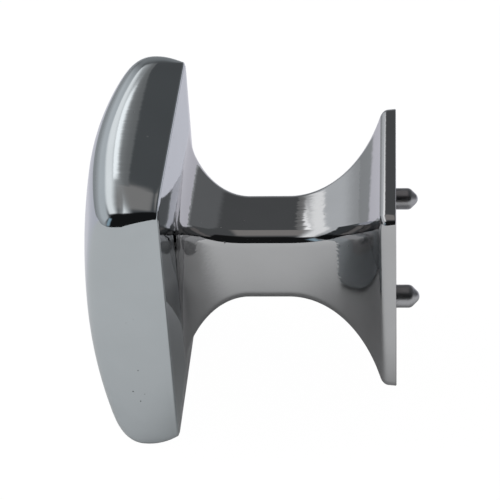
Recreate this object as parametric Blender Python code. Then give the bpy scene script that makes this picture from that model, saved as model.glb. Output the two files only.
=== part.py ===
"""Sash lift handle: a square, flared pull knob that is screwed to a window sash from behind.

The knob's axis is world Y. The mounting face lies in the XZ plane at the origin and the domed
front faces -Y. Each piece is modelled about its own local Z axis, where z is the depth in front
of the mounting face, and one empty turns them all so that depth runs along world -Y.
"""

import math

import bmesh
import bpy

# Base flange of the pillar, against the sash
BASE_WIDTH = 0.0225
BASE_BACK_CHAMFER = 0.00012
BASE_CORNER_SIZE = 0.0011
BASE_CORNER_POWER = 3
BASE_RIM_RADIUS = 0.0010

# Neck of the pillar, and the two concave flares that run out from it
NECK_WIDTH = 0.0088
NECK_CORNER_RADIUS = 0.0013
CORNER_BLEND_POWER = 8
NECK_START = 0.0119
NECK_END = 0.0163
BASE_FLARE_RADIUS = 0.0113
HEAD_FLARE_RADIUS = 0.0077
HEAD_FLARE_ANGLE = math.radians(62.7)

# Square domed head
HEAD_BACK_WIDTH = 0.03082
HEAD_BULGE = 0.00059
HEAD_BULGE_POWER = 0.83
HEAD_BACK_SLOPE = math.radians(6.85)
HEAD_RIM_RADIUS = 0.00028
HEAD_BACK_CORNER_RADIUS = 0.0012
HEAD_FRONT_CORNER_SIZE = 0.0036
HEAD_FRONT_CORNER_POWER = 6
PROJECTION = 0.0341
DOME_CURVATURE = 8.0
FRONT_ROUNDING_DEPTH = 0.00294
FRONT_ROUNDING_SHARE = 0.184
FRONT_ROUNDING_POWER = 2.61

# Square spigot that keys the pillar into the head
SPIGOT_WIDTH = 0.0064
SPIGOT_CORNER_RADIUS = 0.0006
SPIGOT_LENGTH = 0.0018

# Tie screw that pulls head and pillar together, inside the pillar's stepped bore
TIE_SCREW_RADIUS = 0.0020
TIE_SCREW_LENGTH = 0.0200
TIE_SCREW_HEAD_RADIUS = 0.0035
TIE_SCREW_HEAD_HEIGHT = 0.0026
TIE_SCREW_CHAMFER = 0.0003
HEX_SOCKET_ACROSS_FLATS = 0.0030
HEX_SOCKET_DEPTH = 0.0013
SCREW_SEAT_DEPTH = 0.0080
TIE_SCREW_END_ROOM = 0.0006

# Threaded insert for the fixing screw, flush in the back of the bore
INSERT_RADIUS = 0.0037
INSERT_LENGTH = 0.0040
INSERT_THREAD_RADIUS = 0.00165
INSERT_GROOVE_DEPTH = 0.0004
INSERT_GROOVE_WIDTH = 0.0008
INSERT_CHAMFER = 0.0003
INSERT_RECESS = 0.0002

# Pointed locating pins that stop the knob from turning on the sash
PIN_SPACING = 0.0185
PIN_RADIUS = 0.00124
PIN_PROJECTION = 0.00248
PIN_TIP_RADIUS = 0.0008
PIN_POINT_ANGLE = math.radians(45)
PIN_SOCKET_DEPTH = 0.0012
PIN_CHAMFER = 0.00015

# Space left between pieces that touch
GAP = 0.0003

# Fineness of the meshes
CORNER_STEPS = 6
SIDE_STEPS = 4
RIM_STEPS = 3
FLARE_STEPS = 12
HEAD_SIDE_STEPS = 5
ROUNDING_STEPS = 7
DOME_STEPS = 6
TURNED_STEPS = 28
CUTTER_OVERRUN = 0.002

QUARTER_TURN = math.pi / 2
DOWNWARD = 1.5 * math.pi


def remove_all_objects():
    for obj in list(bpy.data.objects):
        bpy.data.objects.remove(obj, do_unlink=True)


def make_material(name, colour, roughness, metallic=1.0):
    material = bpy.data.materials.new(name)
    material.use_nodes = True
    shader = material.node_tree.nodes["Principled BSDF"]
    shader.inputs["Base Color"].default_value = (*colour, 1.0)
    shader.inputs["Roughness"].default_value = roughness
    shader.inputs["Metallic"].default_value = metallic
    return material


def add_object(name, bm, parent, material=None, sharp_angle=math.radians(32)):
    """Turns a finished bmesh into a smooth-shaded object under the handle's empty."""
    bmesh.ops.recalc_face_normals(bm, faces=bm.faces)
    mesh = bpy.data.meshes.new(name)
    bm.to_mesh(mesh)
    bm.free()
    mesh.shade_smooth()
    mesh.set_sharp_from_angle(angle=sharp_angle)
    obj = bpy.data.objects.new(name, mesh)
    obj.parent = parent
    if material:
        mesh.materials.append(material)
    bpy.context.scene.collection.objects.link(obj)
    return obj


def as_cutter(obj):
    obj.hide_render = True
    obj.display_type = "WIRE"
    return obj


def cut(obj, cutter):
    boolean = obj.modifiers.new(cutter.name, "BOOLEAN")
    boolean.operation = "DIFFERENCE"
    boolean.solver = "EXACT"
    boolean.object = cutter


def corner_arc(half_width, corner_size, power):
    """Points round the corner in the first quadrant; a power of 2 gives a plain round corner."""
    inset = half_width - corner_size
    arc = []
    for step in range(CORNER_STEPS + 1):
        angle = QUARTER_TURN * step / CORNER_STEPS
        x, y = math.cos(angle), math.sin(angle)
        reach = corner_size / (abs(x) ** power + abs(y) ** power) ** (1 / power)
        arc.append((inset + x * reach, inset + y * reach))
    return arc


def rounded_square(half_width, corner_size, depth, power=2):
    """A closed ring of points round a square with softened corners, all at one depth."""
    arc = corner_arc(half_width, corner_size, power)
    quarter = list(arc)
    side_start = arc[-1]
    side_end = (-arc[0][1], arc[0][0])
    for step in range(1, SIDE_STEPS):
        share = step / SIDE_STEPS
        quarter.append(tuple(a + (b - a) * share for a, b in zip(side_start, side_end)))
    ring = []
    for _ in range(4):
        ring.extend(quarter)
        quarter = [(-y, x) for x, y in quarter]
    return [(x, y, depth) for x, y in ring]


def arc_profile(centre_depth, centre_half, radius, start, end, steps):
    """Points (depth, half width) along an arc, from the start angle to the end angle."""
    points = []
    for step in range(steps + 1):
        angle = start + (end - start) * step / steps
        points.append(
            (centre_depth + radius * math.cos(angle), centre_half + radius * math.sin(angle))
        )
    return points


def loft(rings):
    """Joins rings of equally many points into one closed body with a cap at each end."""
    bm = bmesh.new()
    loops = [[bm.verts.new(point) for point in ring] for ring in rings]
    for near, far in zip(loops, loops[1:]):
        count = len(near)
        for i in range(count):
            following = (i + 1) % count
            bm.faces.new((near[i], near[following], far[following], far[i]))
    bm.faces.new(reversed(loops[0]))
    bm.faces.new(loops[-1])
    return bm


def turn(profile, closed=False):
    """Spins a profile of (radius, depth) points about the Z axis into one closed body."""
    bm = bmesh.new()
    verts = [bm.verts.new((radius, 0, depth)) for radius, depth in profile]
    edges = [bm.edges.new(pair) for pair in zip(verts, verts[1:])]
    if closed:
        edges.append(bm.edges.new((verts[-1], verts[0])))
    bmesh.ops.spin(
        bm,
        geom=verts + edges,
        cent=(0, 0, 0),
        axis=(0, 0, 1),
        angle=2 * math.pi,
        steps=TURNED_STEPS,
        use_merge=True,
    )
    bmesh.ops.remove_doubles(bm, verts=bm.verts, dist=1e-7)
    return bm


def pillar_profile():
    """Points (depth, half width) of the pillar's side, from the mounting face to the head."""
    base_half = BASE_WIDTH / 2
    neck_half = NECK_WIDTH / 2
    flare_centre_half = neck_half + BASE_FLARE_RADIUS
    rim_centre_half = base_half - BASE_RIM_RADIUS
    centre_distance = BASE_FLARE_RADIUS + BASE_RIM_RADIUS
    half_offset = flare_centre_half - rim_centre_half
    depth_offset = math.sqrt(centre_distance**2 - half_offset**2)
    rim_centre_depth = NECK_START - depth_offset
    meeting_angle = math.atan2(half_offset, depth_offset)

    profile = [(0.0, base_half - BASE_BACK_CHAMFER), (BASE_BACK_CHAMFER, base_half)]
    profile += arc_profile(
        rim_centre_depth, rim_centre_half, BASE_RIM_RADIUS, QUARTER_TURN, meeting_angle, RIM_STEPS
    )
    profile += arc_profile(
        NECK_START,
        flare_centre_half,
        BASE_FLARE_RADIUS,
        meeting_angle + math.pi,
        DOWNWARD,
        FLARE_STEPS,
    )[1:]
    profile += arc_profile(
        NECK_END,
        neck_half + HEAD_FLARE_RADIUS,
        HEAD_FLARE_RADIUS,
        DOWNWARD,
        DOWNWARD + HEAD_FLARE_ANGLE,
        FLARE_STEPS,
    )
    return profile


def pillar_ring(depth, half_width):
    """A ring of the pillar: soft corners at the mounting face, round ones at the neck and head."""
    if depth < NECK_START:
        end_size, end_power = BASE_CORNER_SIZE, BASE_CORNER_POWER
        share = (1 - depth / NECK_START) ** CORNER_BLEND_POWER
    else:
        end_size, end_power = HEAD_BACK_CORNER_RADIUS, 2
        share = (half_width - NECK_WIDTH / 2) / (HEAD_BACK_WIDTH / 2 - NECK_WIDTH / 2)
    size = NECK_CORNER_RADIUS + (end_size - NECK_CORNER_RADIUS) * share
    return rounded_square(half_width, size, depth, 2 + (end_power - 2) * share)


def joint_plane():
    """Depth and half width at which the pillar's head flare ends against the head."""
    return pillar_profile()[-1]


def make_flared_pillar(parent, bore_cutter, pin_socket_cutters):
    profile = pillar_profile()
    joint_depth, joint_half = profile[-1]
    profile[-1] = (joint_depth - GAP / 2, joint_half)
    rings = [pillar_ring(depth, half_width) for depth, half_width in profile]
    for depth in (joint_depth - GAP / 2, joint_depth - GAP / 2 + SPIGOT_LENGTH):
        rings.append(rounded_square(SPIGOT_WIDTH / 2, SPIGOT_CORNER_RADIUS, depth))
    material = make_material("pillar_chrome", (0.60, 0.61, 0.62), 0.16)
    pillar = add_object("flared_pillar", loft(rings), parent, material)
    cut(pillar, bore_cutter)
    for cutter in pin_socket_cutters:
        cut(pillar, cutter)
    return pillar


def dome_depth(x, y):
    return PROJECTION - DOME_CURVATURE * (x * x + y * y)


def front_ring(outline, inset_share):
    """The outline shrunk towards the axis and laid on the dome, less the rounding at its edge."""
    if inset_share < FRONT_ROUNDING_SHARE:
        across = 1 - inset_share / FRONT_ROUNDING_SHARE
        drop = 1 - (1 - across**FRONT_ROUNDING_POWER) ** (1 / FRONT_ROUNDING_POWER)
    else:
        drop = 0.0
    scale = 1 - inset_share
    return [
        (x * scale, y * scale, dome_depth(x * scale, y * scale) - FRONT_ROUNDING_DEPTH * drop)
        for x, y, _ in outline
    ]


def head_side_rings(rim_depth, front_edge):
    """Rings up the head's sides, which bulge a little from the back rim to the front edge."""
    back_half = HEAD_BACK_WIDTH / 2
    rings = []
    for step in range(1, HEAD_SIDE_STEPS):
        share = step / HEAD_SIDE_STEPS
        half_width = back_half + HEAD_BULGE * math.sin(share**HEAD_BULGE_POWER * QUARTER_TURN)
        size_change = HEAD_FRONT_CORNER_SIZE - HEAD_BACK_CORNER_RADIUS
        size = HEAD_BACK_CORNER_RADIUS + size_change * share
        power = 2 + (HEAD_FRONT_CORNER_POWER - 2) * share
        flat_ring = rounded_square(half_width, size, rim_depth, power)
        rings.append(
            [
                (x, y, rim_depth + (front[2] - rim_depth) * share)
                for (x, y, _), front in zip(flat_ring, front_edge)
            ]
        )
    return rings


def make_knob_head(parent, socket_cutters):
    joint_depth, joint_half = joint_plane()
    back_depth = joint_depth + GAP / 2
    back_half = HEAD_BACK_WIDTH / 2
    rim_half = back_half - HEAD_RIM_RADIUS
    rim_start = back_depth + (rim_half - joint_half) * math.tan(HEAD_BACK_SLOPE)
    rim_end = rim_start + HEAD_RIM_RADIUS
    rings = [
        rounded_square(joint_half, HEAD_BACK_CORNER_RADIUS, back_depth),
        rounded_square(rim_half, HEAD_BACK_CORNER_RADIUS, rim_start),
    ]
    rim = arc_profile(rim_end, rim_half, HEAD_RIM_RADIUS, math.pi, QUARTER_TURN, RIM_STEPS)
    for depth, half_width in rim[1:]:
        rings.append(rounded_square(half_width, HEAD_BACK_CORNER_RADIUS, depth))

    front_half = back_half + HEAD_BULGE
    outline = rounded_square(front_half, HEAD_FRONT_CORNER_SIZE, 0, HEAD_FRONT_CORNER_POWER)
    front_edge = front_ring(outline, 0.0)
    rings += head_side_rings(rim_end, front_edge)
    for step in range(ROUNDING_STEPS):
        angle = QUARTER_TURN * step / ROUNDING_STEPS
        rings.append(front_ring(outline, FRONT_ROUNDING_SHARE * (1 - math.cos(angle))))
    for step in range(DOME_STEPS):
        share = step / DOME_STEPS
        rings.append(front_ring(outline, FRONT_ROUNDING_SHARE + (1 - FRONT_ROUNDING_SHARE) * share))

    bm = loft(rings)
    bm.faces.ensure_lookup_table()
    crown = bmesh.ops.poke(bm, faces=[bm.faces[-1]])["verts"][0]
    crown.co.z = PROJECTION
    material = make_material("head_chrome", (0.62, 0.63, 0.65), 0.10)
    head = add_object("knob_head", bm, parent, material)
    for cutter in socket_cutters:
        cut(head, cutter)
    return head


def make_bore_cutter(parent):
    """The stepped bore through the pillar: insert seat, screw head room, then shank clearance."""
    insert_seat = INSERT_RECESS + INSERT_LENGTH + GAP
    seat_radius = INSERT_RADIUS + GAP
    head_radius = TIE_SCREW_HEAD_RADIUS + GAP
    shank_radius = TIE_SCREW_RADIUS + GAP
    end_depth = joint_plane()[0] + SPIGOT_LENGTH + CUTTER_OVERRUN
    profile = [
        (0, -CUTTER_OVERRUN),
        (seat_radius, -CUTTER_OVERRUN),
        (seat_radius, insert_seat),
        (head_radius, insert_seat),
        (head_radius, SCREW_SEAT_DEPTH),
        (shank_radius, SCREW_SEAT_DEPTH),
        (shank_radius, end_depth),
        (0, end_depth),
    ]
    return as_cutter(add_object("pillar_bore_cutter", turn(profile), parent))


def make_pin_socket_cutters(parent):
    cutters = []
    radius = PIN_RADIUS + GAP
    profile = [
        (0, -CUTTER_OVERRUN),
        (radius, -CUTTER_OVERRUN),
        (radius, PIN_SOCKET_DEPTH),
        (0, PIN_SOCKET_DEPTH),
    ]
    for side, x in (("left", -PIN_SPACING / 2), ("right", PIN_SPACING / 2)):
        cutter = as_cutter(add_object(f"{side}_pin_socket_cutter", turn(profile), parent))
        cutter.location.x = x
        cutters.append(cutter)
    return cutters


def make_head_socket_cutters(parent):
    """The square spigot socket in the head's back, and the tie screw's blind hole beyond it."""
    back_depth = joint_plane()[0] + GAP / 2
    socket_half = SPIGOT_WIDTH / 2 + GAP
    socket_end = back_depth + SPIGOT_LENGTH
    corner_radius = SPIGOT_CORNER_RADIUS + GAP
    rings = [
        rounded_square(socket_half, corner_radius, depth)
        for depth in (back_depth - CUTTER_OVERRUN, socket_end)
    ]
    socket = as_cutter(add_object("spigot_socket_cutter", loft(rings), parent))
    radius = TIE_SCREW_RADIUS + GAP
    hole_end = tie_screw_seat() + TIE_SCREW_LENGTH + TIE_SCREW_END_ROOM
    profile = [
        (0, back_depth - CUTTER_OVERRUN),
        (radius, back_depth - CUTTER_OVERRUN),
        (radius, hole_end),
        (0, hole_end),
    ]
    hole = as_cutter(add_object("tie_screw_hole_cutter", turn(profile), parent))
    return [socket, hole]


def tie_screw_seat():
    """Depth of the underside of the tie screw's head, just clear of its seat."""
    return SCREW_SEAT_DEPTH - GAP


def make_tie_screw(parent):
    """A low-headed hex socket screw, whose local z is zero at the underside of its head."""
    chamfer = TIE_SCREW_CHAMFER
    head_radius, radius = TIE_SCREW_HEAD_RADIUS, TIE_SCREW_RADIUS
    top = -TIE_SCREW_HEAD_HEIGHT
    profile = [
        (0, top),
        (head_radius - chamfer, top),
        (head_radius, top + chamfer),
        (head_radius, 0),
        (radius, 0),
        (radius, TIE_SCREW_LENGTH - chamfer),
        (radius - chamfer, TIE_SCREW_LENGTH),
        (0, TIE_SCREW_LENGTH),
    ]
    material = make_material("tie_screw_steel", (0.30, 0.30, 0.31), 0.35)
    screw = add_object("tie_screw", turn(profile), parent, material)
    screw.location.z = tie_screw_seat()

    bm = bmesh.new()
    bmesh.ops.create_cone(
        bm,
        cap_ends=True,
        segments=6,
        radius1=HEX_SOCKET_ACROSS_FLATS / math.sqrt(3),
        radius2=HEX_SOCKET_ACROSS_FLATS / math.sqrt(3),
        depth=2 * HEX_SOCKET_DEPTH,
    )
    socket = as_cutter(add_object("hex_socket_cutter", bm, parent))
    socket.location.z = tie_screw_seat() + top
    cut(screw, socket)
    return screw


def make_threaded_insert(parent):
    """A grooved bush, whose local z is zero at its outer end."""
    chamfer = INSERT_CHAMFER
    outer, inner, length = INSERT_RADIUS, INSERT_THREAD_RADIUS, INSERT_LENGTH
    groove_start = (length - INSERT_GROOVE_WIDTH) / 2
    groove_end = (length + INSERT_GROOVE_WIDTH) / 2
    profile = [
        (inner + chamfer, 0),
        (outer - chamfer, 0),
        (outer, chamfer),
        (outer, groove_start),
        (outer - INSERT_GROOVE_DEPTH, groove_start),
        (outer - INSERT_GROOVE_DEPTH, groove_end),
        (outer, groove_end),
        (outer, length - chamfer),
        (outer - chamfer, length),
        (inner + chamfer, length),
        (inner, length - chamfer),
        (inner, chamfer),
    ]
    material = make_material("insert_brass", (0.62, 0.47, 0.22), 0.30)
    insert = add_object("threaded_insert", turn(profile, closed=True), parent, material)
    insert.location.z = INSERT_RECESS
    return insert


def make_locating_pin(name, x, parent, material):
    """A short pin with a rounded conical point, whose local z is zero at the mounting face."""
    inner_end = PIN_SOCKET_DEPTH - GAP
    point = -PIN_PROJECTION
    tip_centre = point + PIN_TIP_RADIUS
    tip = []
    for step in range(RIM_STEPS + 1):
        angle = PIN_POINT_ANGLE * step / RIM_STEPS
        tip.append((PIN_TIP_RADIUS * math.sin(angle), tip_centre - PIN_TIP_RADIUS * math.cos(angle)))
    cone_start_radius, cone_start_depth = tip[-1]
    shoulder_depth = cone_start_depth + (PIN_RADIUS - cone_start_radius) / math.tan(PIN_POINT_ANGLE)
    profile = tip + [
        (PIN_RADIUS, shoulder_depth),
        (PIN_RADIUS, inner_end - PIN_CHAMFER),
        (PIN_RADIUS - PIN_CHAMFER, inner_end),
        (0, inner_end),
    ]
    pin = add_object(name, turn(profile), parent, material)
    pin.location.x = x
    return pin


def make_handle():
    axis = bpy.data.objects.new("handle_axis", None)
    axis.rotation_euler.x = math.radians(90)
    bpy.context.scene.collection.objects.link(axis)

    make_flared_pillar(axis, make_bore_cutter(axis), make_pin_socket_cutters(axis))
    make_knob_head(axis, make_head_socket_cutters(axis))
    make_tie_screw(axis)
    make_threaded_insert(axis)
    pin_material = make_material("pin_nickel", (0.42, 0.42, 0.43), 0.22)
    make_locating_pin("left_locating_pin", -PIN_SPACING / 2, axis, pin_material)
    make_locating_pin("right_locating_pin", PIN_SPACING / 2, axis, pin_material)


remove_all_objects()
make_handle()
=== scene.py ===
"""Looks for the sash lift handle: a polished chrome square pull knob with two locating pins."""

import math

import bmesh
import bpy
from mathutils import Matrix, Vector


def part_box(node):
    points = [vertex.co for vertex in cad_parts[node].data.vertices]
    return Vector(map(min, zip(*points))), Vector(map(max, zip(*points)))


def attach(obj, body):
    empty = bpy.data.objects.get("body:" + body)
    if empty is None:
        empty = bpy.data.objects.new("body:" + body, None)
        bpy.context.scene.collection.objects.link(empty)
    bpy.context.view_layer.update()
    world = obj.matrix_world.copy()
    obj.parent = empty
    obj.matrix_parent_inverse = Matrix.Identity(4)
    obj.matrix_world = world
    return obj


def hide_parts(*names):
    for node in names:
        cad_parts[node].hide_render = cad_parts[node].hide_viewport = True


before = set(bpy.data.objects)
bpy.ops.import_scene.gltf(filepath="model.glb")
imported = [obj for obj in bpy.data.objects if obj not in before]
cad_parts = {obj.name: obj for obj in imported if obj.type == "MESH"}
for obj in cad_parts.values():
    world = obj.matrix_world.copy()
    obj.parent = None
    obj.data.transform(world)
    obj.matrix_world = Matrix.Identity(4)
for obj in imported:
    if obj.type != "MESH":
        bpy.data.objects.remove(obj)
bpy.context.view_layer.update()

MM = 0.001
QUARTER_TURN = math.pi / 2
DOWNWARD = 1.5 * math.pi

# ---------------------------------------------------------------- sizes read from the frame
head_low, head_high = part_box("knob_head")
pillar_low, pillar_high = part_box("flared_pillar")
insert_low, insert_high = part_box("threaded_insert")
screw_low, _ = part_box("tie_screw")

PROJECTION = -head_low.y
HEAD_HALF = head_high.x
BASE_HALF = pillar_high.x
SPIGOT_END = -pillar_low.y

# ---------------------------------------------------------------- sizes of the pillar and the head
NECK_HALF = 4.4 * MM
NECK_CORNER_RADIUS = 1.3 * MM
NECK_START = 11.9 * MM
NECK_END = 16.3 * MM
BASE_FLARE_RADIUS = 11.3 * MM
HEAD_FLARE_RADIUS = 7.7 * MM
HEAD_FLARE_ANGLE = math.radians(62.7)
BASE_EDGE_CHAMFER = 0.1 * MM
BASE_CORNER = 1.1 * MM
BASE_CORNER_POWER = 3
BASE_RIM_RADIUS = 1.0 * MM
# The higher this is, the closer to the mounting face the neck's corners turn into the base's.
CORNER_BLEND_POWER = 8

HEAD_BULGE = 0.59 * MM
HEAD_BULGE_POWER = 0.83
HEAD_BACK_SLOPE = math.radians(6.85)
HEAD_RIM_RADIUS = 0.28 * MM
HEAD_BACK_CORNER = 1.2 * MM
HEAD_FRONT_CORNER = 3.6 * MM
HEAD_FRONT_CORNER_POWER = 6.0
# Two of the head's corners have their own softer shapes, so that they reflect as in the photo:
# the worn one at +X+Z, nearest to the camera, and the far one at -X+Z.
WORN_CORNER_ALONG = 8.0 * MM
WORN_BACK_CORNER_UP = 3.0 * MM
WORN_FRONT_CORNER_UP = 6.2 * MM
WORN_BACK_CORNER_POWER = 7.0
WORN_FRONT_CORNER_POWER = 5.0
FAR_CORNER_ALONG = 6.5 * MM
FAR_CORNER_UP = 1.4 * MM
FAR_CORNER_POWER = 4
# In metres, the dome falls by this times the square of the distance from the axis.
DOME_CURVATURE = 8.0
FRONT_ROUNDING_DEPTH = 2.94 * MM
FRONT_ROUNDING_SHARE = 0.184
FRONT_ROUNDING_POWER = 2.61
JOINT_BLEND_RADIUS = 4.0 * MM
JOINT_STRIP = 0.25 * MM

SPIGOT_HALF = 3.2 * MM
SPIGOT_CORNER_RADIUS = 0.6 * MM
SOCKET_GAP = 0.1 * MM
SHANK_BORE_RADIUS = 2.2 * MM
INSERT_BORE_RADIUS = 3.8 * MM
BORE_CHAMFER = 0.15 * MM
SCREW_SEAT = 8.0 * MM
SCREW_HOLE_RADIUS = 2.1 * MM
SCREW_HOLE_END = 28.3 * MM

SCREW_HEAD_RADIUS = 3.5 * MM
SCREW_HEAD_HEIGHT = 2.6 * MM
SCREW_SHANK_RADIUS = 2.0 * MM
SCREW_CHAMFER = 0.3 * MM
HEX_ACROSS_FLATS = 3.0 * MM
HEX_DEPTH = 1.3 * MM
HEX_MOUTH_SHARE = 0.62
COARSE_PITCH = 0.7 * MM
THREAD_DEPTH = 0.38 * MM
THREAD_STEEPNESS = 1.3
INSERT_THREAD_RADIUS = 2.0 * MM
KNURL_TEETH = 36
KNURL_DEPTH = 0.12 * MM
INSERT_CHAMFER = 0.3 * MM
GROOVE_DEPTH = 0.4 * MM
GROOVE_HALF_WIDTH = 0.4 * MM

PIN_CHAMFER = 0.15 * MM
PIN_TIP_RADIUS = 0.8 * MM
PIN_EDGE_RADIUS = 0.7 * MM
PIN_CONE_DEGREES = 45
PIN_TIP_DEGREES = 44

# ---------------------------------------------------------------- fineness of the meshes
CORNER_STEPS = 12
SIDE_STEPS = 28
FLARE_STEPS = 56
BLEND_STEPS = 16
NECK_STEPS = 10
RIM_STEPS = 8
BACK_STEPS = 14
HEAD_SIDE_STEPS = 16
ROUNDING_STEPS = 24
DOME_STEPS = 6
DOME_GRID_SHARE = 0.30
TURNED_STEPS = 144
RING_STEPS = 4 * (CORNER_STEPS + SIDE_STEPS)
BASE_EDGE_STEPS = 4
JOINT_STRIP_STEPS = 3
PIN_SIDE_STEPS = 10
PIN_CONE_STEPS = 6
SCREW_STEPS_PER_PITCH = 8
INSERT_STEPS_PER_PITCH = 10
SHARP_ANGLE = math.radians(38)
THREAD_SHARP_ANGLE = math.radians(30)


# ---------------------------------------------------------------- mesh helpers
def to_world(x, up, depth):
    """Depth runs from the mounting face towards the domed front, along world -Y."""
    return (x, -depth, up)


def corner_arc(half, along_size, up_size, power):
    """Points round the corner in the first quadrant; a power of 2 gives a plain round corner."""
    arc = []
    for step in range(CORNER_STEPS + 1):
        angle = QUARTER_TURN * step / CORNER_STEPS
        along, up = math.cos(angle), math.sin(angle)
        reach = (along**power + abs(up) ** power) ** (-1 / power)
        arc.append(
            Vector((half + along_size * (along * reach - 1), half + up_size * (up * reach - 1)))
        )
    return arc


def soft_square(half, corners, depth):
    """A ring round a square; corners gives each one's (size, size, power), from +X+Z on.

    The first point is the middle of the first corner.
    """
    arcs = [
        [Matrix.Rotation(number * QUARTER_TURN, 2) @ point for point in corner_arc(half, *corner)]
        for number, corner in enumerate(corners)
    ]
    ring = []
    for arc, following in zip(arcs, arcs[1:] + arcs[:1]):
        ring += arc
        ring += [arc[-1].lerp(following[0], step / SIDE_STEPS) for step in range(1, SIDE_STEPS)]
    half_corner = CORNER_STEPS // 2
    ring = ring[half_corner:] + ring[:half_corner]
    return [(point.x, point.y, depth) for point in ring]


def rounded_square(half, radius, depth):
    """A closed ring round a square with four plain round corners."""
    return soft_square(half, [(radius, radius, 2)] * 4, depth)


def circle(radius, depth):
    """A closed ring with as many points as a rounded square's, starting towards its corner."""
    ring = []
    for step in range(RING_STEPS):
        angle = QUARTER_TURN / 2 + 2 * math.pi * step / RING_STEPS
        ring.append((radius * math.cos(angle), radius * math.sin(angle), depth))
    return ring


def arc_profile(centre_depth, centre_half, radius, start, end, steps):
    """Points (depth, half width) along an arc, from the start angle to the end angle."""
    points = []
    for step in range(steps + 1):
        angle = start + (end - start) * step / steps
        points.append(
            (centre_depth + radius * math.cos(angle), centre_half + radius * math.sin(angle))
        )
    return points


def line_profile(start, end, steps):
    """Points along a straight stretch of a profile, without its first point."""
    return [
        tuple(a + (b - a) * step / steps for a, b in zip(start, end))
        for step in range(1, steps + 1)
    ]


def add_skin(bm, rings, closed=False):
    """Joins rings of equally many (x, up, depth) points with quads; returns their vertices.

    A closed skin also has quads from the last ring to the first.
    """
    loops = [[bm.verts.new(to_world(*point)) for point in ring] for ring in rings]
    following_loops = loops[1:] + loops[:1] if closed else loops[1:]
    for near, far in zip(loops, following_loops):
        count = len(near)
        for i in range(count):
            following = (i + 1) % count
            bm.faces.new((near[i], near[following], far[following], far[i]))
    return loops


def add_object(name, data):
    """Makes an object of a mesh or a camera and puts it in the scene."""
    obj = bpy.data.objects.new(name, data)
    bpy.context.scene.collection.objects.link(obj)
    return obj


def finish_mesh(name, bm, sharp_angle=SHARP_ANGLE):
    """Makes a smooth-shaded object of a closed bmesh, with flats kept flat right to their edges."""
    bmesh.ops.recalc_face_normals(bm, faces=bm.faces)
    mesh = bpy.data.meshes.new(name)
    bm.to_mesh(mesh)
    bm.free()
    mesh.shade_smooth()
    mesh.set_sharp_from_angle(angle=sharp_angle)
    obj = add_object(name, mesh)
    weighted = obj.modifiers.new("even_normals", "WEIGHTED_NORMAL")
    weighted.keep_sharp = True
    return obj


# ---------------------------------------------------------------- pillar
# Points and directions of the side are (depth, half width).
BACK_DIRECTION = Vector((math.sin(HEAD_BACK_SLOPE), math.cos(HEAD_BACK_SLOPE)))
HEAD_FLARE_CENTRE = Vector((NECK_END, NECK_HALF + HEAD_FLARE_RADIUS))


def joint_point():
    """Where the pillar's flare would meet the head's back as a plain crease."""
    angle = DOWNWARD + HEAD_FLARE_ANGLE
    depth = NECK_END + HEAD_FLARE_RADIUS * math.cos(angle)
    half = NECK_HALF + HEAD_FLARE_RADIUS * (1 + math.sin(angle))
    return Vector((depth, half))


def back_point(distance):
    """The point of the head's sloping back that lies this far out from the crease."""
    return joint_point() + BACK_DIRECTION * distance


def blend_centre():
    """The centre of the small arc that touches both the flare and the head's sloping back.

    Also returned is how far out from the crease the arc touches the back.
    """
    outward = Vector((-BACK_DIRECTION.y, BACK_DIRECTION.x))
    start = joint_point() + outward * JOINT_BLEND_RADIUS - HEAD_FLARE_CENTRE
    reach = HEAD_FLARE_RADIUS - JOINT_BLEND_RADIUS
    along = start.dot(BACK_DIRECTION)
    distance = -along - math.sqrt(along**2 - start.length_squared + reach**2)
    return joint_point() + outward * JOINT_BLEND_RADIUS + BACK_DIRECTION * distance, distance


def pillar_profile():
    """Points (depth, half width) of the pillar's side, from the mounting face to the head."""
    flare_centre_half = NECK_HALF + BASE_FLARE_RADIUS
    rim_centre_half = BASE_HALF - BASE_RIM_RADIUS
    centre_distance = BASE_FLARE_RADIUS + BASE_RIM_RADIUS
    half_offset = flare_centre_half - rim_centre_half
    depth_offset = math.sqrt(centre_distance**2 - half_offset**2)
    rim_centre_depth = NECK_START - depth_offset
    meeting_angle = math.atan2(half_offset, depth_offset)
    profile = arc_profile(
        BASE_EDGE_CHAMFER,
        BASE_HALF - BASE_EDGE_CHAMFER,
        BASE_EDGE_CHAMFER,
        math.pi,
        QUARTER_TURN,
        BASE_EDGE_STEPS,
    )
    profile += line_profile(profile[-1], (rim_centre_depth, BASE_HALF), BASE_EDGE_STEPS)
    profile += arc_profile(
        rim_centre_depth, rim_centre_half, BASE_RIM_RADIUS, QUARTER_TURN, meeting_angle, RIM_STEPS
    )[1:]
    profile += arc_profile(
        NECK_START,
        flare_centre_half,
        BASE_FLARE_RADIUS,
        meeting_angle + math.pi,
        DOWNWARD,
        FLARE_STEPS,
    )[1:]
    profile += line_profile(profile[-1], (NECK_END, NECK_HALF), NECK_STEPS)
    blend, blend_end = blend_centre()
    towards_blend = blend - HEAD_FLARE_CENTRE
    flare_end = 2 * math.pi + math.atan2(towards_blend.y, towards_blend.x)
    profile += arc_profile(
        NECK_END, HEAD_FLARE_CENTRE.y, HEAD_FLARE_RADIUS, DOWNWARD, flare_end, FLARE_STEPS
    )[1:]
    profile += arc_profile(
        blend.x,
        blend.y,
        JOINT_BLEND_RADIUS,
        flare_end,
        2 * math.pi - HEAD_BACK_SLOPE,
        BLEND_STEPS,
    )[1:]
    strip_end = back_point(blend_end + JOINT_STRIP)
    profile += line_profile(profile[-1], strip_end, JOINT_STRIP_STEPS)
    return profile


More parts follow.
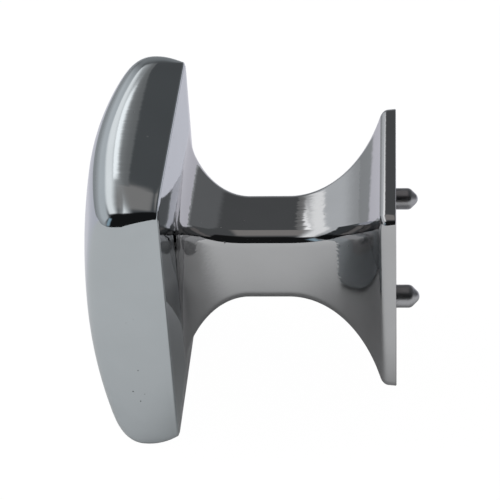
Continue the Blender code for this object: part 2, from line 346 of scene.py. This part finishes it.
def pillar_corner(depth, half):
    """Size and power of the pillar's corners: soft at the base, round at the neck and the head."""
    if depth < NECK_START:
        share = (1 - depth / NECK_START) ** CORNER_BLEND_POWER
        end_size, end_power = BASE_CORNER, BASE_CORNER_POWER
    else:
        share = (half - NECK_HALF) / (HEAD_HALF - HEAD_BULGE - NECK_HALF)
        end_size, end_power = HEAD_BACK_CORNER, 2
    size = NECK_CORNER_RADIUS + (end_size - NECK_CORNER_RADIUS) * share
    return size, size, 2 + (end_power - 2) * share


def make_pillar():
    """The pillar as one closed skin, from its stepped bore round by the base to the spigot."""
    profile = pillar_profile()
    joint_depth = profile[-1][0]
    rings = [
        circle(SHANK_BORE_RADIUS, SPIGOT_END),
        circle(SHANK_BORE_RADIUS, SCREW_SEAT),
        circle(INSERT_BORE_RADIUS, SCREW_SEAT),
        circle(INSERT_BORE_RADIUS, BORE_CHAMFER),
        circle(INSERT_BORE_RADIUS + BORE_CHAMFER, 0),
    ]
    rings += [soft_square(half, [pillar_corner(depth, half)] * 4, depth) for depth, half in profile]
    rings.append(rounded_square(SPIGOT_HALF, SPIGOT_CORNER_RADIUS, joint_depth))
    rings.append(rounded_square(SPIGOT_HALF, SPIGOT_CORNER_RADIUS, SPIGOT_END))
    bm = bmesh.new()
    add_skin(bm, rings, closed=True)
    return finish_mesh("pillar", bm)


# ---------------------------------------------------------------- head
def dome_depth(x, up):
    """How far forward the domed front lies at this place."""
    return PROJECTION - DOME_CURVATURE * (x * x + up * up)


def front_ring(outline, inset_share):
    """The outline, shrunk towards the axis by a share of its size and laid on the rounded dome."""
    if inset_share < FRONT_ROUNDING_SHARE:
        across = 1 - inset_share / FRONT_ROUNDING_SHARE
        drop = 1 - (1 - across**FRONT_ROUNDING_POWER) ** (1 / FRONT_ROUNDING_POWER)
    else:
        drop = 0.0
    scale = 1 - inset_share
    ring = []
    for x, up, _ in outline:
        depth = dome_depth(x * scale, up * scale) - FRONT_ROUNDING_DEPTH * drop
        ring.append((x * scale, up * scale, depth))
    return ring


def close_with_grid(bm, loop, depth_at):
    """Fills a ring with a square grid of faces; points inside it lie at depth_at(x, up)."""
    count = len(loop) // 4
    flat = [Vector((vert.co.x, vert.co.z)) for vert in loop]
    corners = [flat[side * count] for side in range(4)]
    grid = {}
    for i in range(count + 1):
        grid[i, 0] = loop[i]
        grid[count, i] = loop[count + i]
        grid[count - i, count] = loop[2 * count + i]
        grid[0, count - i] = loop[(3 * count + i) % (4 * count)]
    for i in range(1, count):
        for j in range(1, count):
            u, v = i / count, j / count
            across = flat[i].lerp(flat[3 * count - i], v)
            along = flat[(4 * count - j) % (4 * count)].lerp(flat[count + j], u)
            bottom = corners[0].lerp(corners[1], u)
            top = corners[3].lerp(corners[2], u)
            place = across + along - bottom.lerp(top, v)
            grid[i, j] = bm.verts.new(to_world(place.x, place.y, depth_at(place.x, place.y)))
    for i in range(count):
        for j in range(count):
            bm.faces.new((grid[i, j], grid[i + 1, j], grid[i + 1, j + 1], grid[i, j + 1]))


def head_corners(share):
    """The four corners at a share of the way from the back rim to the front.

    The worn one comes first and the far one second. The far one is turned by a quarter, so its
    sizes are given the other way round.
    """
    size = HEAD_BACK_CORNER + (HEAD_FRONT_CORNER - HEAD_BACK_CORNER) * share
    power = 2 + (HEAD_FRONT_CORNER_POWER - 2) * share
    worn_up = WORN_BACK_CORNER_UP + (WORN_FRONT_CORNER_UP - WORN_BACK_CORNER_UP) * share
    power_change = WORN_FRONT_CORNER_POWER - WORN_BACK_CORNER_POWER
    worn_power = WORN_BACK_CORNER_POWER + power_change * share
    far_along = HEAD_BACK_CORNER + (FAR_CORNER_ALONG - HEAD_BACK_CORNER) * share
    far_up = HEAD_BACK_CORNER + (FAR_CORNER_UP - HEAD_BACK_CORNER) * share
    far_power = 2 + (FAR_CORNER_POWER - 2) * share
    worn = [(WORN_CORNER_ALONG, worn_up, worn_power), (far_up, far_along, far_power)]
    return worn + [(size, size, power)] * 2


def make_head():
    """The head: socket, sloping back, rim, bulging sides, rounded front edge and dome."""
    joint_depth, joint_half = pillar_profile()[-1]
    back_half = HEAD_HALF - HEAD_BULGE
    rim_half = back_half - HEAD_RIM_RADIUS
    rim_start = joint_depth + (rim_half - joint_half) * math.tan(HEAD_BACK_SLOPE)
    rim_end = rim_start + HEAD_RIM_RADIUS * (1 + math.sin(HEAD_BACK_SLOPE))
    joint_corner = pillar_corner(joint_depth, joint_half)
    back = [(joint_depth, joint_half)]
    back += line_profile(back[0], (rim_start, rim_half), BACK_STEPS)
    back += arc_profile(
        rim_end, rim_half, HEAD_RIM_RADIUS, math.pi - HEAD_BACK_SLOPE, QUARTER_TURN, RIM_STEPS
    )
    socket_bottom = SPIGOT_END + SOCKET_GAP
    socket_half = SPIGOT_HALF + SOCKET_GAP
    rings = [
        circle(SCREW_HOLE_RADIUS, SCREW_HOLE_END),
        circle(SCREW_HOLE_RADIUS, socket_bottom),
        rounded_square(socket_half, SPIGOT_CORNER_RADIUS, socket_bottom),
        rounded_square(socket_half, SPIGOT_CORNER_RADIUS, joint_depth + SOCKET_GAP),
    ]
    for depth, half in back:
        share = min((half - joint_half) / (rim_half - joint_half), 1)
        corners = [
            tuple(start + (end - start) * share for start, end in zip(joint_corner, corner))
            for corner in head_corners(0)
        ]
        rings.append(soft_square(half, corners, depth))

    outline = soft_square(HEAD_HALF, head_corners(1), 0)
    front_edge = front_ring(outline, 0.0)
    for step in range(1, HEAD_SIDE_STEPS):
        share = step / HEAD_SIDE_STEPS
        half = back_half + HEAD_BULGE * math.sin(share**HEAD_BULGE_POWER * QUARTER_TURN)
        flat_ring = soft_square(half, head_corners(share), 0)
        rings.append(
            [
                (x, up, rim_end + (front[2] - rim_end) * share)
                for (x, up, _), front in zip(flat_ring, front_edge)
            ]
        )
    for step in range(ROUNDING_STEPS + 1):
        inset = FRONT_ROUNDING_SHARE * (1 - math.cos(QUARTER_TURN * step / ROUNDING_STEPS))
        rings.append(front_ring(outline, inset))
    for step in range(1, DOME_STEPS + 1):
        inset = FRONT_ROUNDING_SHARE + (DOME_GRID_SHARE - FRONT_ROUNDING_SHARE) * step / DOME_STEPS
        rings.append(front_ring(outline, inset))
    bm = bmesh.new()
    loops = add_skin(bm, rings)
    bm.faces.new(loops[0])
    close_with_grid(bm, loops[-1], dome_depth)
    return finish_mesh("head", bm)


# ---------------------------------------------------------------- stage, lights and camera
CAMERA_ELEVATION = math.radians(35.71)
CAMERA_DISTANCE = 203.4 * MM
CAMERA_SIDE_STEP = 0.32 * MM
CAMERA_LIFT = 0.016 * MM
CAMERA_YAW = math.radians(4.674)
CAMERA_PITCH = math.radians(-0.126)
CAMERA_ROLL = math.radians(-0.164)
CAMERA_LENS = 131.3
CAMERA_SENSOR = 36
CAMERA_CLIP = (0.01, 10)


def make_camera():
    """A long-lens camera that faces the knob's side from above, turned a little to its front."""
    towards = Vector((math.cos(CAMERA_ELEVATION), 0, math.sin(CAMERA_ELEVATION)))
    lift = Vector((-math.sin(CAMERA_ELEVATION), 0, math.cos(CAMERA_ELEVATION)))
    side = Vector((0, 1, 0))
    square_on = Matrix((side, lift, towards)).transposed()
    turn = (
        Matrix.Rotation(CAMERA_YAW, 3, "Y")
        @ Matrix.Rotation(CAMERA_PITCH, 3, "X")
        @ Matrix.Rotation(CAMERA_ROLL, 3, "Z")
    )
    camera_data = bpy.data.cameras.new("camera")
    camera_data.lens = CAMERA_LENS
    camera_data.sensor_width = CAMERA_SENSOR
    camera_data.clip_start, camera_data.clip_end = CAMERA_CLIP
    camera = add_object("camera", camera_data)
    place = towards * CAMERA_DISTANCE + lift * CAMERA_LIFT + side * CAMERA_SIDE_STEP
    camera.matrix_world = Matrix.Translation(place) @ (square_on @ turn).to_4x4()
    bpy.context.scene.camera = camera


# ---------------------------------------------------------------- small turned pieces
def turned(bm, profile, closed=False):
    """The skin of (radius, depth) points turned about the axis; radius may be radius(angle)."""
    rings = []
    for radius, depth in profile:
        ring = []
        for step in range(TURNED_STEPS):
            angle = 2 * math.pi * step / TURNED_STEPS
            reach = radius(angle) if callable(radius) else radius
            ring.append((reach * math.cos(angle), reach * math.sin(angle), depth))
        rings.append(ring)
    loops = add_skin(bm, rings, closed)
    if not closed:
        bm.faces.new(loops[0])
        bm.faces.new(loops[-1])


def make_pin(name, node):
    """A turned locating pin with a chamfered root and a 45 degree cone with a rounded tip.

    The tip's rounding stops just short of the axis, where a small flat face closes it.
    """
    low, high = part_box(node)
    radius = (high.x - low.x) / 2
    root, tip = -low.y, -high.y
    cone_start = tip + radius - PIN_TIP_RADIUS * (math.sqrt(2) - 1)
    edge_centre = cone_start + PIN_EDGE_RADIUS * math.tan(math.radians(PIN_CONE_DEGREES / 2))
    tip_centre = tip + PIN_TIP_RADIUS
    profile = [(radius - PIN_CHAMFER, root), (radius, root - PIN_CHAMFER)]
    profile += line_profile(profile[-1], (radius, edge_centre), PIN_SIDE_STEPS)
    for step in range(1, RIM_STEPS + 1):
        angle = math.radians(PIN_CONE_DEGREES * step / RIM_STEPS)
        profile.append(
            (
                radius - PIN_EDGE_RADIUS * (1 - math.cos(angle)),
                edge_centre - PIN_EDGE_RADIUS * math.sin(angle),
            )
        )
    cone_end = (
        PIN_TIP_RADIUS * math.sqrt(0.5),
        tip_centre - PIN_TIP_RADIUS * math.sqrt(0.5),
    )
    profile += line_profile(profile[-1], cone_end, PIN_CONE_STEPS)
    for step in range(1, RIM_STEPS + 1):
        angle = math.radians(PIN_CONE_DEGREES + PIN_TIP_DEGREES * step / RIM_STEPS)
        profile.append(
            (PIN_TIP_RADIUS * math.cos(angle), tip_centre - PIN_TIP_RADIUS * math.sin(angle))
        )
    bm = bmesh.new()
    turned(bm, profile)
    bmesh.ops.translate(bm, verts=bm.verts, vec=((high.x + low.x) / 2, 0, 0))
    return finish_mesh(name, bm)


def thread(outer, inner, depth):
    """The radius at each angle of a screw thread cut at this depth."""

    def radius(angle):
        turn_share = (depth / COARSE_PITCH - angle / (2 * math.pi)) % 1
        height = min(abs(2 * turn_share - 1) * THREAD_STEEPNESS, 1)
        return inner + (outer - inner) * height

    return radius


def hexagon(across_flats):
    """The radius at each angle of a hexagon."""

    def radius(angle):
        sixth = math.pi / 3
        return across_flats / 2 / math.cos((angle % sixth) - sixth / 2)

    return radius


def knurl(radius_outside):
    """The radius at each angle of a ring of small straight teeth."""

    def radius(angle):
        return radius_outside - KNURL_DEPTH * (0.5 + 0.5 * math.cos(KNURL_TEETH * angle))

    return radius


def make_tie_screw():
    """A socket head screw: a hexagon socket in a chamfered head, and a threaded shank."""
    back = SCREW_SEAT - SCREW_HEAD_HEIGHT
    end = -screw_low.y
    socket = hexagon(HEX_ACROSS_FLATS)
    neck = SCREW_SHANK_RADIUS - THREAD_DEPTH / 2
    root = SCREW_SHANK_RADIUS - THREAD_DEPTH
    start = SCREW_SEAT + COARSE_PITCH
    profile = [
        (socket, back + HEX_DEPTH),
        (socket, back + BORE_CHAMFER),
        (HEX_ACROSS_FLATS * HEX_MOUTH_SHARE, back),
        (SCREW_HEAD_RADIUS - SCREW_CHAMFER, back),
        (SCREW_HEAD_RADIUS, back + SCREW_CHAMFER),
        (SCREW_HEAD_RADIUS, SCREW_SEAT),
        (neck, SCREW_SEAT),
        (neck, start),
    ]
    steps = int((end - SCREW_CHAMFER - start) / COARSE_PITCH * SCREW_STEPS_PER_PITCH)
    for step in range(steps + 1):
        depth = start + COARSE_PITCH * step / SCREW_STEPS_PER_PITCH
        profile.append((thread(SCREW_SHANK_RADIUS, root, depth), depth))
    profile.append((root - SCREW_CHAMFER, end))
    bm = bmesh.new()
    turned(bm, profile)
    return finish_mesh("joint_screw", bm, THREAD_SHARP_ANGLE)


def make_insert():
    """A threaded insert: knurled outside with a groove round it, and a threaded hole."""
    outside = insert_high.x
    back, front = -insert_high.y, -insert_low.y
    middle = (back + front) / 2
    teeth = knurl(outside)
    groove = outside - GROOVE_DEPTH
    hole = INSERT_THREAD_RADIUS - THREAD_DEPTH
    threaded = (front - back - 2 * INSERT_CHAMFER) / COARSE_PITCH
    profile = [(INSERT_THREAD_RADIUS, back)]
    for step in range(int(threaded * INSERT_STEPS_PER_PITCH) + 1):
        depth = back + INSERT_CHAMFER + COARSE_PITCH * step / INSERT_STEPS_PER_PITCH
        profile.append((thread(hole, INSERT_THREAD_RADIUS, depth), depth))
    profile += [
        (INSERT_THREAD_RADIUS, front),
        (outside - INSERT_CHAMFER, front),
        (teeth, front - INSERT_CHAMFER),
        (teeth, middle + GROOVE_HALF_WIDTH),
        (groove, middle + GROOVE_HALF_WIDTH),
        (groove, middle - GROOVE_HALF_WIDTH),
        (teeth, middle - GROOVE_HALF_WIDTH),
        (teeth, back + INSERT_CHAMFER),
        (outside - INSERT_CHAMFER, back),
    ]
    bm = bmesh.new()
    turned(bm, profile, closed=True)
    return finish_mesh("insert", bm, THREAD_SHARP_ANGLE)


# ---------------------------------------------------------------- node helpers
class Nodes:
    """Adds and links nodes of one shader tree."""

    def __init__(self, tree):
        self.tree = tree
        tree.nodes.clear()

    def add(self, kind, **settings):
        node = self.tree.nodes.new(kind)
        for name, value in settings.items():
            setattr(node, name, value)
        return node

    def link(self, source, target):
        self.tree.links.new(source, target)

    def put(self, socket, value):
        """Links another node's output to a socket, or sets the socket to a number or colour."""
        if isinstance(value, bpy.types.NodeSocket):
            self.link(value, socket)
        else:
            socket.default_value = value

    def math(self, operation, *values):
        node = self.add("ShaderNodeMath", operation=operation)
        for socket, value in zip(node.inputs, values):
            self.put(socket, value)
        return node.outputs[0]

    def dot(self, vector, fixed):
        node = self.add("ShaderNodeVectorMath", operation="DOT_PRODUCT")
        self.put(node.inputs[0], vector)
        node.inputs[1].default_value = fixed
        return node.outputs["Value"]

    def smooth(self, value, start, end, low=0.0, high=1.0):
        """Eases from low to high as value goes from start to end; start may be above end."""
        node = self.add("ShaderNodeMapRange", interpolation_type="SMOOTHERSTEP", clamp=True)
        if start > end:
            start, end, low, high = end, start, high, low
        for socket, number in zip(node.inputs[1:5], (start, end, low, high)):
            socket.default_value = number
        self.put(node.inputs["Value"], value)
        return node.outputs["Result"]

    def noise(self, vector, scale, detail):
        node = self.add("ShaderNodeTexNoise")
        node.inputs["Scale"].default_value = scale
        node.inputs["Detail"].default_value = detail
        self.link(vector, node.inputs["Vector"])
        return node.outputs["Fac"]

    def mix(self, factor, first, second):
        node = self.add("ShaderNodeMix", data_type="RGBA", clamp_factor=True)
        self.put(node.inputs["Factor"], factor)
        self.put(node.inputs["A"], first)
        self.put(node.inputs["B"], second)
        return node.outputs["Result"]

    def blended_surface(self, share, first, second):
        """Gives the material a mix of two shader nodes; a share of 1 shows only the second."""
        blend = self.add("ShaderNodeMixShader")
        self.link(share, blend.inputs[0])
        self.link(first.outputs[0], blend.inputs[1])
        self.link(second.outputs[0], blend.inputs[2])
        output = self.add("ShaderNodeOutputMaterial")
        self.link(blend.outputs[0], output.inputs["Surface"])


def new_material(name):
    """An empty material and the nodes helper for its shader tree."""
    material = bpy.data.materials.new(name)
    material.use_nodes = True
    return material, Nodes(material.node_tree)


def grey(value, tint=(1.0, 1.0, 1.0)):
    """An opaque grey as RGBA, coloured by a tint."""
    return (value * tint[0], value * tint[1], value * tint[2], 1.0)


# ---------------------------------------------------------------- lights
COOL = (0.96, 1.0, 1.03)
WARM = (1.0, 0.95, 0.92)
LILAC = (0.985, 0.98, 1.07)
PLAIN = (0.99, 1.0, 1.0)
SKY = (0.62, 0.85, 1.0)

# Each panel: azimuth and elevation of its middle in degrees, half width, half height, softness
# (all as tangents of the angle), brightness and tint. Later panels lie over earlier ones.
PANELS = (
    ("far_low_glow", 146, -12, 0.62, 0.28, 0.06, 0.48, COOL),
    ("far_grey_gap", 150, 14, 0.20, 0.24, 0.05, 0.165, COOL),
    ("front_wall_low", -105, -2, 1.30, 0.30, 0.30, 0.43, COOL),
    ("front_wall_high", -110, 24, 1.15, 0.30, 0.20, 0.66, COOL),
    ("camera_side_dark", 18, 24, 1.55, 0.85, 0.22, 0.012, COOL),
    ("far_wall_low", 180, 6, 0.36, 0.26, 0.16, 0.27, COOL),
    ("small_window", -46, 14, 0.10, 0.22, 0.08, 0.55, SKY),
)
# A panel fades out between these cosines of the angle from its middle, so none shows behind.
PANEL_BACK_FADE = (0.0, 0.1)
PANEL_LEAST_COSINE = 0.02
ROOM_GREY = 0.10
OPEN_WHITE = 1.03
# The light that falls on matt surfaces, from low and from high up, and the sines between them.
LOW_FILL = 0.30
HIGH_FILL = 1.2
FILL_RISE = (0.2, 1.0)


def direction(azimuth, elevation):
    """A unit vector; azimuth 0 is +X and 90 is +Y."""
    a, e = math.radians(azimuth), math.radians(elevation)
    return Vector((math.cos(e) * math.cos(a), math.cos(e) * math.sin(a), math.sin(e)))


def make_room():
    """Soft light panels on grey for reflections, a plain fill for matt surfaces, white behind."""
    world = bpy.data.worlds.new("studio_room")
    world.use_nodes = True
    bpy.context.scene.world = world
    nodes = Nodes(world.node_tree)
    ray = nodes.add("ShaderNodeTexCoord").outputs["Generated"]
    light = grey(ROOM_GREY, COOL)
    for _, azimuth, elevation, half_width, half_height, softness, brightness, tint in PANELS:
        middle = direction(azimuth, elevation)
        side = direction(azimuth + 90, 0)
        upward = middle.cross(side)
        facing = nodes.dot(ray, middle)
        ahead = nodes.math("MAXIMUM", facing, PANEL_LEAST_COSINE)
        mask = nodes.smooth(facing, *PANEL_BACK_FADE)
        for axis, half in ((side, half_width), (upward, half_height)):
            offset = nodes.math("DIVIDE", nodes.math("ABSOLUTE", nodes.dot(ray, axis)), ahead)
            inside = nodes.smooth(offset, half + softness, half - softness)
            mask = nodes.math("MULTIPLY", mask, inside)
        light = nodes.mix(mask, light, grey(brightness, tint))
    fill_share = nodes.smooth(nodes.dot(ray, (0, 0, 1)), *FILL_RISE)
    fill = nodes.mix(fill_share, grey(LOW_FILL), grey(HIGH_FILL))
    path = nodes.add("ShaderNodeLightPath")
    light = nodes.mix(path.outputs["Is Diffuse Ray"], light, fill)
    light = nodes.mix(path.outputs["Is Camera Ray"], light, grey(OPEN_WHITE))
    background = nodes.add("ShaderNodeBackground")
    nodes.link(light, background.inputs["Color"])
    output = nodes.add("ShaderNodeOutputWorld")
    nodes.link(background.outputs[0], output.inputs["Surface"])


# Each card hangs level over the object. Four places along X and four along Y, in millimetres,
# say where its light starts, where it is full, where it begins to fade and where it ends.
# Brightness and tint follow. Later cards hang a little lower, so that they lie over earlier ones.
CARD_HEIGHT = 110 * MM
CARD_SPACING = 2 * MM
CARDS = (
    ("ceiling", (-130, -105, 10, 60), (-80, -40, -5, 30), 0.29, WARM),
    ("faint_strip", (-215, -195, -112, -100), (-62, -52, -43, -38), 0.20, PLAIN),
    ("softbox", (-225, -200, 60, 85), (-160, -105, -92, -39), 1.15, PLAIN),
    ("bright_strip", (-168, -155, -125, -108), (-74, -67, -62, -51), 1.45, PLAIN),
)


def level_rectangle(name, x_limits, y_limits, height):
    """A level rectangle between the first and last of the limits along X and Y."""
    left, right, near, far = x_limits[0], x_limits[-1], y_limits[0], y_limits[-1]
    flat_corners = ((left, near), (right, near), (right, far), (left, far))
    mesh = bpy.data.meshes.new(name)
    mesh.from_pydata([(x, y, height) for x, y in flat_corners], [], [(0, 1, 2, 3)])
    return add_object(name, mesh)


def make_card(name, along_x, along_y, brightness, tint, height):
    """A level light card with soft edges; only reflections see it."""
    x_limits = [value * MM for value in along_x]
    y_limits = [value * MM for value in along_y]
    card = level_rectangle(name, x_limits, y_limits, height)
    material, nodes = new_material(name + "_light")
    split = nodes.add("ShaderNodeSeparateXYZ")
    nodes.link(nodes.add("ShaderNodeTexCoord").outputs["Object"], split.inputs[0])
    mask = 1.0
    for axis, limits in (("X", x_limits), ("Y", y_limits)):
        rising = nodes.smooth(split.outputs[axis], limits[0], limits[1])
        falling = nodes.smooth(split.outputs[axis], limits[3], limits[2])
        mask = nodes.math("MULTIPLY", mask, nodes.math("MULTIPLY", rising, falling))
    glow = nodes.add("ShaderNodeEmission")
    glow.inputs["Color"].default_value = grey(1.0, tint)
    glow.inputs["Strength"].default_value = brightness
    nodes.blended_surface(mask, nodes.add("ShaderNodeBsdfTransparent"), glow)
    card.data.materials.append(material)
    card.visible_camera = False
    card.visible_diffuse = False
    card.visible_shadow = False


def make_cards():
    for number, card in enumerate(CARDS):
        make_card(*card, CARD_HEIGHT - number * CARD_SPACING)


FLOOR_SIZE = 3.0
FLOOR_GAP = 0.3 * MM
FLOOR_COLOUR = 0.78
# The share of plain white with which the camera itself sees the floor.
FLOOR_WHITE_SHARE = 0.96
# The floor turns from lilac to plain between these places along X.
FLOOR_TINT_CHANGE = (-40 * MM, 10 * MM)
# Towards -X and -Y the floor gets darker, between these places along each: painted shade, standing
# in for less light falling there.
FLOOR_PAINTED_DIM_COLOUR = 0.42
FLOOR_PAINTED_DIM_X = (-95 * MM, -125 * MM)
FLOOR_PAINTED_DIM_Y = (20 * MM, -20 * MM)
# A painted shadow under the object: its middle, reach, soft edge, strength and colour.
SHADE_CENTRE = (3 * MM, -4 * MM)
SHADE_REACH = (16 * MM, 20 * MM)
SHADE_SOFTNESS = 9 * MM
SHADE_DEPTH = 0.52
SHADE_COLOUR = 0.04


def make_floor():
    """A plain pale floor just under the head, with painted shade far from the camera and a soft
    painted shadow under the knob.
    """
    limits = (-FLOOR_SIZE / 2, FLOOR_SIZE / 2)
    floor = level_rectangle("floor", limits, limits, head_low.z - FLOOR_GAP)
    material, nodes = new_material("pale_floor")
    split = nodes.add("ShaderNodeSeparateXYZ")
    nodes.link(nodes.add("ShaderNodeTexCoord").outputs["Object"], split.inputs[0])
    across = nodes.smooth(split.outputs["X"], *FLOOR_TINT_CHANGE)
    colour = nodes.mix(across, grey(FLOOR_COLOUR, LILAC), grey(FLOOR_COLOUR, PLAIN))
    # Painted shade: the floor's colour darkens towards -X and -Y, standing in for less light there.
    away = nodes.smooth(split.outputs["X"], *FLOOR_PAINTED_DIM_X)
    in_front = nodes.smooth(split.outputs["Y"], *FLOOR_PAINTED_DIM_Y)
    painted_dim_share = nodes.math("MULTIPLY", away, in_front)
    colour = nodes.mix(painted_dim_share, colour, grey(FLOOR_PAINTED_DIM_COLOUR, COOL))
    # Painted shadow: the floor's colour darkens under the object.
    shade = SHADE_DEPTH
    for axis, middle, reach in zip("XY", SHADE_CENTRE, SHADE_REACH):
        offset = nodes.math("ABSOLUTE", nodes.math("SUBTRACT", split.outputs[axis], middle))
        inside = nodes.smooth(offset, reach + SHADE_SOFTNESS, reach - SHADE_SOFTNESS)
        shade = nodes.math("MULTIPLY", shade, inside)
    colour = nodes.mix(shade, colour, grey(SHADE_COLOUR))
    diffuse = nodes.add("ShaderNodeBsdfDiffuse")
    nodes.link(colour, diffuse.inputs["Color"])
    white = nodes.add("ShaderNodeEmission")
    white.inputs["Color"].default_value = grey(OPEN_WHITE)
    path = nodes.add("ShaderNodeLightPath")
    share = nodes.math("MULTIPLY", path.outputs["Is Camera Ray"], FLOOR_WHITE_SHARE)
    nodes.blended_surface(share, diffuse, white)
    floor.data.materials.append(material)


# ---------------------------------------------------------------- metals
# Each metal: its colour, its roughness and how far clouding changes that, how far the polishing
# lines tilt the surface, and how high its slow ripples are.
METALS = {
    "head_chrome": ((0.575, 0.61, 0.635), 0.05, 0.012, 0.02, 0.35),
    "pillar_chrome": ((0.575, 0.575, 0.585), 0.055, 0.015, 0.10, 0.25),
    "pin_nickel": ((0.50, 0.50, 0.52), 0.33, 0.05, 0.05, 0.2),
    "screw_steel": ((0.32, 0.32, 0.33), 0.32, 0.06, 0.05, 0.2),
    "insert_brass": ((0.66, 0.50, 0.26), 0.26, 0.06, 0.05, 0.2),
}
CLOUD_SCALE = 190
CLOUD_DARKENING = 0.90
CLOUD_EDGE = (0.3, 0.7)
PIT_SCALE = 1500
# Cells whose random number is above these have a pit.
PIT_CHANCE = (0.925, 0.935)
PIT_RADIUS = (0.15, 0.07)
PIT_PATCH_SCALE = 110
PIT_PATCH_EDGE = (0.48, 0.58)
PIT_COLOUR = 0.12
PIT_ROUGHNESS = 0.3
PIT_DEPTH = 0.2
RIPPLE_SCALE = 90
LINE_SCALE = (3800, 160, 3800)
BUMP_DISTANCE = 0.1 * MM


def metal(name, colour, roughness, spread, line_tilt, ripple_height):
    """A plated metal: faint clouding, slow ripples, polishing lines along depth and tiny pits."""
    material, nodes = new_material(name)
    shader = nodes.add("ShaderNodeBsdfPrincipled")
    shader.inputs["Metallic"].default_value = 1.0
    place = nodes.add("ShaderNodeTexCoord").outputs["Object"]

    cloud = nodes.noise(place, CLOUD_SCALE, 4)
    darker = tuple(channel * CLOUD_DARKENING for channel in colour)
    base = nodes.mix(cloud, (*darker, 1), (*colour, 1))

    cells = nodes.add("ShaderNodeTexVoronoi")
    cells.inputs["Scale"].default_value = PIT_SCALE
    nodes.link(place, cells.inputs["Vector"])
    chance = nodes.smooth(nodes.dot(cells.outputs["Color"], (1, 0, 0)), *PIT_CHANCE)
    spot = nodes.smooth(cells.outputs["Distance"], *PIT_RADIUS)
    patches = nodes.smooth(nodes.noise(place, PIT_PATCH_SCALE, 1), *PIT_PATCH_EDGE)
    pits = nodes.math("MULTIPLY", nodes.math("MULTIPLY", chance, spot), patches)
    pitted = nodes.mix(pits, base, grey(PIT_COLOUR))
    nodes.link(pitted, shader.inputs["Base Color"])

    rough = nodes.smooth(cloud, *CLOUD_EDGE, roughness - spread, roughness + spread)
    rough = nodes.math("ADD", rough, nodes.math("MULTIPLY", pits, PIT_ROUGHNESS))
    nodes.link(rough, shader.inputs["Roughness"])

    stretch = nodes.add("ShaderNodeMapping")
    stretch.inputs["Scale"].default_value = LINE_SCALE
    nodes.link(place, stretch.inputs["Vector"])
    lines = nodes.math("SUBTRACT", nodes.noise(stretch.outputs[0], 1, 3), 0.5)
    lean = nodes.add("ShaderNodeCombineXYZ")
    nodes.link(nodes.math("MULTIPLY", lines, line_tilt), lean.inputs["Y"])
    leaning = nodes.add("ShaderNodeVectorMath", operation="ADD")
    nodes.link(nodes.add("ShaderNodeNewGeometry").outputs["Normal"], leaning.inputs[0])
    nodes.link(lean.outputs[0], leaning.inputs[1])
    lined = nodes.add("ShaderNodeVectorMath", operation="NORMALIZE")
    nodes.link(leaning.outputs[0], lined.inputs[0])

    ripple = nodes.math("MULTIPLY", nodes.noise(place, RIPPLE_SCALE, 1), ripple_height)
    bump = nodes.add("ShaderNodeBump")
    bump.inputs["Strength"].default_value = 1.0
    bump.inputs["Distance"].default_value = BUMP_DISTANCE
    height = nodes.math("SUBTRACT", ripple, nodes.math("MULTIPLY", pits, PIT_DEPTH))
    nodes.link(height, bump.inputs["Height"])
    nodes.link(lined.outputs[0], bump.inputs["Normal"])
    nodes.link(bump.outputs[0], shader.inputs["Normal"])
    output = nodes.add("ShaderNodeOutputMaterial")
    nodes.link(shader.outputs[0], output.inputs["Surface"])
    return material


def assign(obj, material):
    obj.data.materials.clear()
    obj.data.materials.append(material)


bpy.context.scene.view_settings.view_transform = "Standard"
make_camera()
make_room()
make_cards()
make_floor()

metals = {name: metal(name, *look) for name, look in METALS.items()}

# Each piece, the CAD node that it stands for and its slot, named after its metal.
PIECES = (
    (make_head(), "knob_head", "head_chrome"),
    (make_pillar(), "flared_pillar", "pillar_chrome"),
    (make_pin("left_pin", "left_locating_pin"), "left_locating_pin", "pin_nickel"),
    (make_pin("right_pin", "right_locating_pin"), "right_locating_pin", "pin_nickel"),
    (make_insert(), "threaded_insert", "insert_brass"),
    (make_tie_screw(), "tie_screw", "screw_steel"),
)
for piece, node, slot in PIECES:
    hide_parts(node)
    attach(piece, "root")
    assign(piece, metals[slot])
